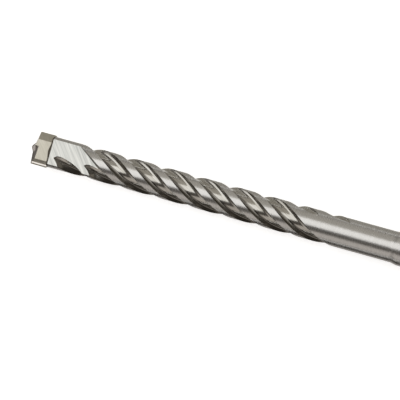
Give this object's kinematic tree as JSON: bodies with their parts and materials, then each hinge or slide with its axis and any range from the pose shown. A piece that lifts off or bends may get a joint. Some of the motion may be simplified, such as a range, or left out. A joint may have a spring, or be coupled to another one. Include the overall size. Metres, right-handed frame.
{
  "type": "sds plus drill bit",
  "caption": "Hammer drill bit for masonry: a fluted steel body with a brazed carbide head and a slotted 10 mm shank.",
  "frame": {"origin": "centre of the striking face at the rear end of the shank, on the bit's axis", "axes": "+X out of the striking face, so the tip points to -X; +Z out of a broad face of the carbide head; +Y along the head's width"},
  "size_m": [0.16, 0.01, 0.01],
  "materials": {
    "steel": "ground and brushed",
    "carbide": "sintered and ground",
    "braze": "heat-darkened"
  },
  "bodies": {
    "root": {"steel_body": "steel", "carbide_head": "carbide", "braze_seam": "braze"}
  },
  "joints": []
}
